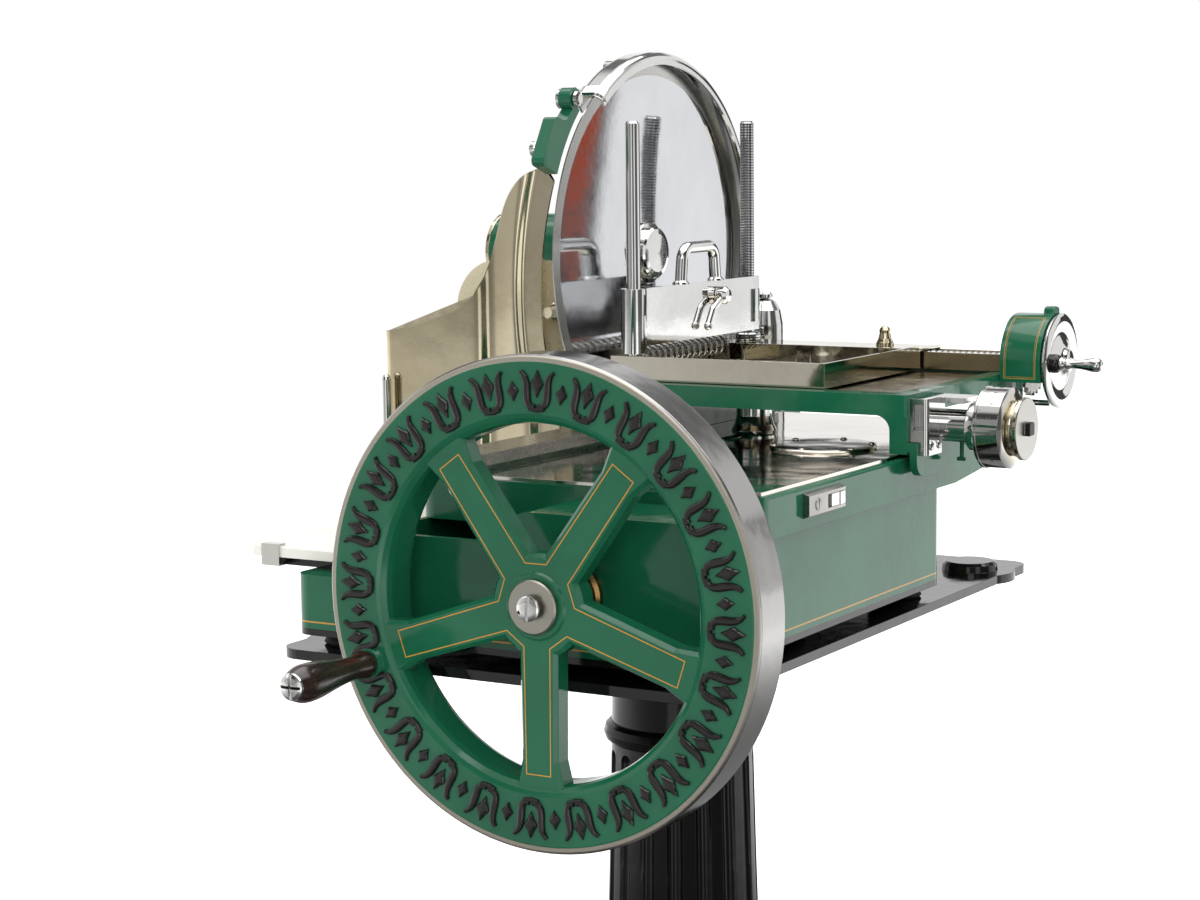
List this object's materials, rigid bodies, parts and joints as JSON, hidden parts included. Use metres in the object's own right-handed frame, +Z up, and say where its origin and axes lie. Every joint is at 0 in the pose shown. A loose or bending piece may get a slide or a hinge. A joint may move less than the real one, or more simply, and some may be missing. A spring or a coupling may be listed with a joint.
{
  "type": "hand crank meat slicer",
  "caption": "Flywheel-driven meat slicer with a large round knife, a sliding meat carriage, feed screw and clamp, standing on a fluted cast column.",
  "frame": {"origin": "centre of the pedestal foot on the floor", "axes": "+Z up, +Y from the flywheel to the back of the machine, +X from the knife towards the meat carriage"},
  "size_m": [0.6349, 0.8402, 1.27],
  "materials": {
    "green_enamel": "gloss enamel",
    "black_enamel": "gloss enamel",
    "rubber": "matt",
    "nickel": "polished nickel",
    "chrome": "polished",
    "steel": "machined",
    "cast_iron": "as cast",
    "knife_steel": "polished",
    "bronze": "machined",
    "wood": "varnished",
    "white_slab": "satin",
    "stone": "matt"
  },
  "bodies": {
    "stand": {"pedestal_foot": "black_enamel", "pedestal_column": "black_enamel", "mounting_plate": "black_enamel", "rubber_feet": "rubber", "base_casting": "green_enamel", "deck_casting": "green_enamel", "deck_plate": "nickel", "access_cover": "nickel", "guide_rail": "steel", "front_bearing": "bronze", "shaft_bearings": "bronze", "crank_gear_stud": "steel", "knife_bracket": "green_enamel", "chain_cover": "green_enamel", "drum_cap": "nickel", "knife_guard": "nickel", "guard_bracket": "steel", "slab_frame": "black_enamel", "receiving_slab": "white_slab", "deflector": "nickel", "rear_plate": "nickel", "oil_pillar": "chrome", "latch_plate": "chrome", "drive_chain": "steel"},
    "wheel": {"flywheel": "green_enamel", "hub_plate": "chrome", "main_shaft": "steel", "drive_pinion": "steel", "handle_spindle": "chrome"},
    "grip": {"handle_grip": "wood"},
    "crank": {"crank_gear": "cast_iron", "crank_arm": "steel"},
    "rod": {"connecting_rod": "steel"},
    "second_shaft": {"second_shaft": "steel"},
    "cross_shaft": {"cross_shaft": "steel", "drive_sprocket": "steel"},
    "knife": {"knife_shaft": "steel", "knife_sprocket": "steel", "knife_blade": "knife_steel", "knife_hub": "chrome"},
    "sharpener": {"sharpener": "green_enamel"},
    "stone": {"sharpener_stone": "stone"},
    "carriage": {"carriage_frame": "green_enamel", "rail_shoe": "green_enamel", "guide_tray": "nickel", "drive_post": "chrome", "screw_trough": "nickel", "feed_drum": "green_enamel", "dial_block": "chrome"},
    "feed": {"feed_screw": "steel", "feed_crank": "chrome"},
    "dial": {"thickness_dial": "chrome"},
    "table": {"meat_table": "nickel", "feed_nut": "nickel", "clamp_posts": "chrome", "table_spring": "steel"},
    "clamp": {"clamp_plate": "chrome", "bail_handle": "chrome"},
    "clamp_lever": {"clamp_lever": "chrome"},
    "latch": {"latch_slide": "chrome"}
  },
  "joints": [
    {"name": "flywheel_spin", "type": "hinge", "parent": "stand", "child": "wheel", "pos_m": [0.078, -0.11, 0.851], "axis": [0, 1, 0], "continuous": true},
    {"name": "grip_spin", "type": "hinge", "parent": "wheel", "child": "grip", "pos_m": [-0.07083, -0.4, 0.79506], "axis": [0, 1, 0], "continuous": true},
    {"name": "crank_turn", "type": "hinge", "parent": "stand", "child": "crank", "pos_m": [0.078, -0.11, 0.851], "axis": [0, 0, 1], "continuous": true},
    {"name": "rod_swing", "type": "hinge", "parent": "crank", "child": "rod", "pos_m": [0.078, -0.022, 0.902], "axis": [0, 0, 1], "continuous": true},
    {"name": "second_shaft_spin", "type": "hinge", "parent": "stand", "child": "second_shaft", "pos_m": [0.078, 0.02, 0.851], "axis": [0, 1, 0], "continuous": true},
    {"name": "cross_shaft_spin", "type": "hinge", "parent": "stand", "child": "cross_shaft", "pos_m": [-0.06, 0.10705, 0.851], "axis": [1, 0, 0], "continuous": true, "deforming": ["drive_chain"]},
    {"name": "blade_spin", "type": "hinge", "parent": "stand", "child": "knife", "pos_m": [-0.2, 0.185, 1.082], "axis": [1, 0, 0], "continuous": true},
    {"name": "sharpener_swing", "type": "hinge", "parent": "stand", "child": "sharpener", "pos_m": [-0.137, 0.04871, 1.22562], "axis": [1, 0, 0], "range_deg": [-40, 0]},
    {"name": "stone_spin", "type": "hinge", "parent": "sharpener", "child": "stone", "pos_m": [-0.137, 0.01957, 1.1814], "axis": [1, 0, 0], "continuous": true},
    {"name": "carriage_slide", "type": "slide", "parent": "stand", "child": "carriage", "axis": [0, 1, 0], "range_m": [-0.176, 0]},
    {"name": "feed_turn", "type": "hinge", "parent": "carriage", "child": "feed", "pos_m": [0.2, 0.284, 0.9845], "axis": [1, 0, 0], "range_deg": [-180, 1296]},
    {"name": "dial_turn", "type": "hinge", "parent": "carriage", "child": "dial", "pos_m": [0.25, 0.076, 0.946], "axis": [1, 0, 0], "range_deg": [0, 300]},
    {"name": "table_feed", "type": "slide", "parent": "carriage", "child": "table", "axis": [1, 0, 0], "range_m": [-0.0101, 0.0721]},
    {"name": "clamp_slide", "type": "slide", "parent": "table", "child": "clamp", "axis": [0, 0, 1], "range_m": [0, 0.12]},
    {"name": "lever_turn", "type": "hinge", "parent": "clamp", "child": "clamp_lever", "pos_m": [-0.07, 0.208, 1.042], "axis": [1, 0, 0], "range_deg": [0, 20], "stiffness_Nm_per_rad": 0.1, "springref_deg": -17.19},
    {"name": "latch_move", "type": "slide", "parent": "stand", "child": "latch", "axis": [0, 1, 0], "range_m": [-0.005, 0]}
  ],
  "couplings": [
    {"joint": "crank_turn", "follows": "flywheel_spin", "ratio": -0.33333},
    {"joint": "rod_swing", "follows": "flywheel_spin", "ratio": 0.33333},
    {"joint": "second_shaft_spin", "follows": "flywheel_spin", "ratio": -1},
    {"joint": "cross_shaft_spin", "follows": "flywheel_spin", "ratio": 1},
    {"joint": "blade_spin", "follows": "flywheel_spin", "ratio": 2},
    {"joint": "table_feed", "follows": "feed_turn", "m_per_rad": 0.0031831}
  ]
}
